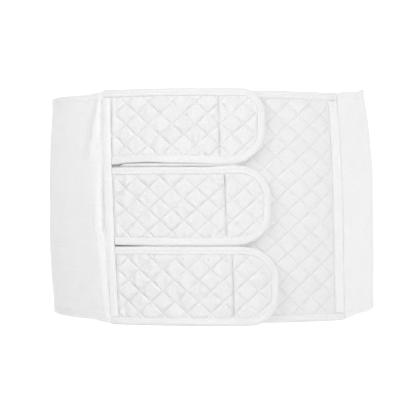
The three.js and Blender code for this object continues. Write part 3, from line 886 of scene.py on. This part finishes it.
# Stretch knit wrap: from the right seam round the back to the left seam, with folded hems
wrap = {
    "turns": [0.15, 0.19, 0.25, 0.5, 0.75, 0.85, 0.874, 0.885],
    "top": [119.6, 123, 128.2, 123.4, 117.4, 117.2, 118.2, 120.5],
    "bottom": [-118, -112, -107.8, -111.8, -114.2, -116.4, -118.8, -121],
    "inside": [1.2, 0.4, 0, 0, 0, 2.2, 5.0, 5.7],
    "thickness": 1.8, "tucked": 1.6, "tuckedThickness": 1.0, "levels": 86,
}
hem = {
    "depth": 8.0, "step": 1.6, "proudOutside": 0.5, "proudInside": 0.9, "rounding": 1.5,
    "stitchLines": (3.4, 6.6), "dimple": 0.42, "dimpleWidth": 0.5, "dimpleInside": 0.6, "stitchProud": 0.08,
    "levels": [0.35, 0.8, 1.5, 2.4, 2.9, 3.4, 3.9, 5.0, 6.1, 6.6, 7.1, 7.9, 8.5, 9.6],  # down from the edge
}
sunkSeam = {"dip": 2.4, "away": 0.8, "halfWidth": 0.8}  # a groove beside the right tape
gathers = {"rise": 0.3, "size": 11, "from": 4, "fade": 7}  # small waves beside the left tape
slowWaves = {"rise": 0.35, "size": 60, "fade": 12}
foldFade = 9  # beyond both ends of a fold
wrapFolds = [  # soft folds beside the left seam; places are (away from the seam, up)
    {"from": (26, 60), "to": (24, -100), "rise": 2.0, "halfWidth": 13.0},
    {"from": (10, 108), "to": (20, 62), "rise": 2.4, "halfWidth": 4.6},
    {"from": (18, 108), "to": (30, 66), "rise": -2.2, "halfWidth": 6.0},
    {"from": (6.4, 106), "to": (8.5, 82), "rise": -2.0, "halfWidth": 1.8},
    {"from": (15.0, 8), "to": (15.5, -22), "rise": 1.6, "halfWidth": 4.0},
    {"from": (7.2, 28), "to": (7.6, -20), "rise": -3.6, "halfWidth": 2.4},
    {"from": (13, -48), "to": (9.5, -112), "rise": 1.5, "halfWidth": 4.0},
]


def foldRise(away, up):
    rise = 0
    for fold in wrapFolds:
        (fromAway, fromUp), (toAway, toUp) = fold["from"], fold["to"]
        length = math.hypot(toAway - fromAway, toUp - fromUp)
        forward = ((away - fromAway) * (toAway - fromAway) + (up - fromUp) * (toUp - fromUp)) / length
        side = ((away - fromAway) * (toUp - fromUp) - (up - fromUp) * (toAway - fromAway)) / length
        past = np.maximum(np.maximum(-forward, forward - length), 0)
        rise = rise + fold["rise"] * bell(side, fold["halfWidth"]) * bell(past, foldFade)
    return rise


def wrapStations(start, end):  # places along the wrap, closer together beside the seams
    rightEdge, leftEdge = start + rightSeam["halfTape"], end - leftSeam["halfTape"]
    under = np.array([0.1, 0.5, 1.0])
    return np.concatenate([
        start + under * rightSeam["halfTape"],
        rightEdge + np.array([0.3, 0.8, 1.4, 2.2]),
        rightEdge + np.arange(3.6, 41, 2.2),
        np.linspace(rightEdge + 42, leftEdge - 62, 110),
        leftEdge - np.arange(60, 0.5, -1.6),
        end - under[::-1] * leftSeam["halfTape"],
    ])


def hemProud(depth, proud):  # how far the folded hem stands out, by the distance from the edge
    return proud * (1 - np.clip((depth - hem["depth"]) / hem["step"], 0, 1))


def makeWrap(seed):
    start, end = rightSeam["along"], waistLength + leftSeam["along"]
    along = wrapStations(start, end)
    turn = along / waistLength
    share = (along - start) / (end - start)
    slant = rightSeam["slant"] + (leftSeam["slant"] - rightSeam["slant"]) * share
    underRight = along < start + rightSeam["halfTape"] + 0.1
    underTape = underRight | (along > end - leftSeam["halfTape"] - 0.1)
    nearRight = share < 0.5
    tucked = np.where(nearRight, rightSeam["reach"], leftSeam["reach"]) - wrap["tucked"]
    seamMiddle = np.where(nearRight, rightSeam["middle"], leftSeam["middle"])
    tuckedInside = seamMiddle - wrap["tuckedThickness"] / 2
    top = np.where(underTape, tucked, easeBetween(turn, wrap["turns"], wrap["top"]))
    bottom = np.where(underTape, -tucked, easeBetween(turn, wrap["turns"], wrap["bottom"]))
    inside = np.where(underTape, tuckedInside, easeBetween(turn, wrap["turns"], wrap["inside"]))[:, None]
    thickness = np.where(underTape, wrap["tuckedThickness"], wrap["thickness"])[:, None]
    proud = np.where(underTape, 0.0, 1.0)[:, None]

    hemLevels = np.array(hem["levels"])
    deepest = hemLevels[-1]
    tall = (top - bottom)[:, None]
    between = np.linspace(0, 1, wrap["levels"] + 2)[1:-1]
    fromTop = np.hstack([
        hemLevels + 0 * tall,
        deepest + between * (tall - 2 * deepest),
        tall - hemLevels[::-1],
    ])
    up = top[:, None] - fromTop
    edgeDepth = np.minimum(fromTop, tall - fromTop)
    rounding = np.sqrt(1 - np.clip(1 - edgeDepth / hem["rounding"], 0, 1) ** 2)  # the fold at the edge
    dimple = sum(hem["dimple"] * bell(edgeDepth - line, hem["dimpleWidth"]) for line in hem["stitchLines"])
    hemOut = hemProud(edgeDepth, hem["proudOutside"]) * proud
    hemIn = hemProud(edgeDepth, hem["proudInside"]) * proud
    middle = thickness / 2 + (hemOut - hemIn) / 2
    half = (thickness + hemOut + hemIn) / 2 * rounding
    away = (end - along)[:, None]
    besideRight = (along - start)[:, None] - rightSeam["halfTape"]
    sunk = sunkSeam["dip"] * bell(besideRight - sunkSeam["away"], sunkSeam["halfWidth"])
    rise = (foldRise(away, up) - sunk) * proud
    nearLeft = np.exp(-np.clip(away - gathers["from"], 0, None) / gathers["fade"])
    gather = nearLeft * gathers["rise"] * ripple(up, away * 0.5, gathers["size"], seed)
    slow = slowWaves["rise"] * ripple(along[:, None] + 0 * up, up, slowWaves["size"], seed + 1) + gather
    lift = inside + rise + slow * np.clip(edgeDepth / slowWaves["fade"], 0, 1) * proud
    outer = lift + middle + half - dimple * proud
    inner = lift + middle - half + hem["dimpleInside"] * dimple * proud
    flatAlong = along[:, None] + slant[:, None] * up / waist["halfHeight"]
    sections = np.dstack([
        np.hstack([flatAlong, flatAlong[:, ::-1]]),
        np.hstack([up, up[:, ::-1]]),
        np.hstack([outer, inner[:, ::-1]]),
    ])
    cutAcross = np.hstack([up, up[:, ::-1], up[:, :1]])
    piece = sweptCloth("stretch_wrap_knit", sections, sections[..., 0], cutAcross)
    finishPiece(piece, stretchKnit, ["stretch_wrap"])

    runs = []
    shown = ~underTape
    for depth in hem["stitchLines"]:
        row = hem["levels"].index(depth)
        for column in (row, up.shape[1] - 1 - row):
            for face, sign in ((outer, 1), (inner, -1)):
                height = face[shown, column] + sign * hem["stitchProud"]
                line = np.column_stack([flatAlong[shown, column], up[shown, column], height])
                runs.append(stitchesAlong(line, seed + column))
    return piece, sewStitches("stretch_wrap_stitching", runs, edgeThread)


knit, hemStitching = makeWrap(53)
print("stretch wrap made")


# White sweep of paper, in metres: a floor that bends up into a wall
stageSet = {
    "floor": -0.42, "wall": 1.7, "half": 5.0, "front": -5.0, "tall": 5.0, "bend": 0.7, "bendSteps": 16,
    "paper": {"Base Color": (0.9, 0.9, 0.9, 1), "Roughness": 0.9, "Emission Color": (1, 1, 1, 1)},
    "glow": 0.4, "glowBetween": (0.2, 1.3),  # the wall is lit from behind
    "farGlow": 0.1, "farBetween": (0.6, 1.7),  # keeps the far floor pale
}
deselectAll()
bpy.ops.mesh.primitive_plane_add(size=2)
sweep = bpy.context.object
sweep.name = "sweep"
sweep.data.name = "sweep"
sweepPoints = readPoints(sweep)
sweepPoints[:, 0] *= stageSet["half"]
sweepPoints[:, 1] = np.where(sweepPoints[:, 1] > 0, stageSet["wall"], stageSet["front"])
sweepPoints[:, 2] = stageSet["floor"]
writePoints(sweep, sweepPoints)


def selectBackEdge():  # where the floor ends, or meets the wall
    bpy.context.tool_settings.mesh_select_mode = (False, True, False)
    for part in (*sweep.data.vertices, *sweep.data.polygons):
        part.select = False
    for edge in sweep.data.edges:
        ends = [sweep.data.vertices[end].co for end in edge.vertices]
        edge.select = all(end.y > 0 and end.z < stageSet["floor"] + 0.01 for end in ends)
    startEdit(sweep)


selectBackEdge()
bpy.ops.mesh.extrude_region_move(TRANSFORM_OT_translate={"value": (0, 0, stageSet["tall"])})
endEdit()
selectBackEdge()
bpy.ops.mesh.bevel(offset=stageSet["bend"], segments=stageSet["bendSteps"])
endEdit()
bpy.ops.object.shade_smooth()


def glowNode(tree, distance, between, most):
    values = {"From Min": between[0], "From Max": between[1], "To Max": most}
    return addNode(tree, "ShaderNodeMapRange", values, Value=distance).outputs["Result"]


paper = bpy.data.materials.new("sweepPaper")
paper.use_nodes = True
paperTree = paper.node_tree
paperShader = paperTree.nodes["Principled BSDF"]
setInputs(paperShader, stageSet["paper"])
paperPlace = paperTree.nodes.new("ShaderNodeTexCoord").outputs["Object"]
paperAway = addNode(paperTree, "ShaderNodeVectorMath", {}, Vector=paperPlace)
paperAway.operation = "LENGTH"
paperAxes = addNode(paperTree, "ShaderNodeSeparateXYZ", {}, Vector=paperPlace)
floorGlow = glowNode(paperTree, paperAway.outputs["Value"], stageSet["farBetween"], stageSet["farGlow"])
wallGlow = glowNode(paperTree, paperAxes.outputs["Y"], stageSet["glowBetween"], stageSet["glow"])
paperGlow = mathNode(paperTree, "MAXIMUM", floorGlow, wallGlow)
paperTree.links.new(paperGlow, paperShader.inputs["Emission Strength"])
sweep.data.materials.append(paper)

studio = {"front": 0.4, "seen": 0.8}  # a wide soft light in front, fading at the sides, in a pale room
room = bpy.data.worlds.new("studioRoom")
bpy.context.scene.world = room
room.use_nodes = True
roomTree = room.node_tree
roomPlace = roomTree.nodes.new("ShaderNodeTexCoord").outputs["Generated"]
roomFront = addNode(roomTree, "ShaderNodeVectorMath", {}, Vector=roomPlace)
roomFront.operation = "DOT_PRODUCT"
roomFront.inputs[1].default_value = (0, -1, 0)
roomLight = glowNode(roomTree, roomFront.outputs["Value"], (0, 1), studio["front"])
roomPath = roomTree.nodes.new("ShaderNodeLightPath")
seen = roomPath.outputs["Is Camera Ray"]
roomPale = addNode(roomTree, "ShaderNodeMix", {"B": studio["seen"]}, Factor=seen, A=roomLight)
roomShader = roomTree.nodes["Background"]
roomShader.inputs["Color"].default_value = (1, 1, 1, 1)
roomTree.links.new(roomPale.outputs["Result"], roomShader.inputs["Strength"])

softLights = {
    "keyLight": {"at": (-1.46, -1.22, 1.1), "size": 0.8, "watts": 18.3},
    "fillLight": {"at": (1.22, -1.74, 0.57), "size": 0.8, "watts": 17},
    "topLight": {"at": (0.0, -1.5, 1.61), "size": 0.8, "watts": 5.5},
    "rightLight": {"at": (2.13, 0.38, 0.38), "size": 1.2, "watts": 10.5},
    "leftLight": {"at": (-2.04, 0.74, 0.38), "size": 1.2, "watts": 5},
}
for lightName, light in softLights.items():
    lamp = bpy.data.lights.new(lightName, "AREA")
    lamp.energy = light["watts"]
    lamp.size = light["size"]
    holder = bpy.data.objects.new(lightName, lamp)
    bpy.context.collection.objects.link(holder)
    holder.location = light["at"]
    aim = -np.array(light["at"])  # towards the belt's middle
    tilt = math.acos(-aim[2] / np.linalg.norm(aim))
    holder.rotation_euler = (tilt, 0, math.atan2(aim[1], aim[0]) - math.pi / 2)

lens = {"at": (-0.0039, -1.5714, -0.00101), "length": 124.2, "sensor": 36, "farthest": 60}
view = bpy.data.cameras.new("frontView")
view.lens = lens["length"]
view.sensor_width = lens["sensor"]
view.clip_end = lens["farthest"]
viewHolder = bpy.data.objects.new("frontView", view)
bpy.context.collection.objects.link(viewHolder)
viewHolder.location = lens["at"]
viewHolder.rotation_euler = (math.pi / 2, 0, 0)
bpy.context.scene.camera = viewHolder
bpy.context.scene.view_settings.view_transform = "Standard"
print("stage, light and camera set")
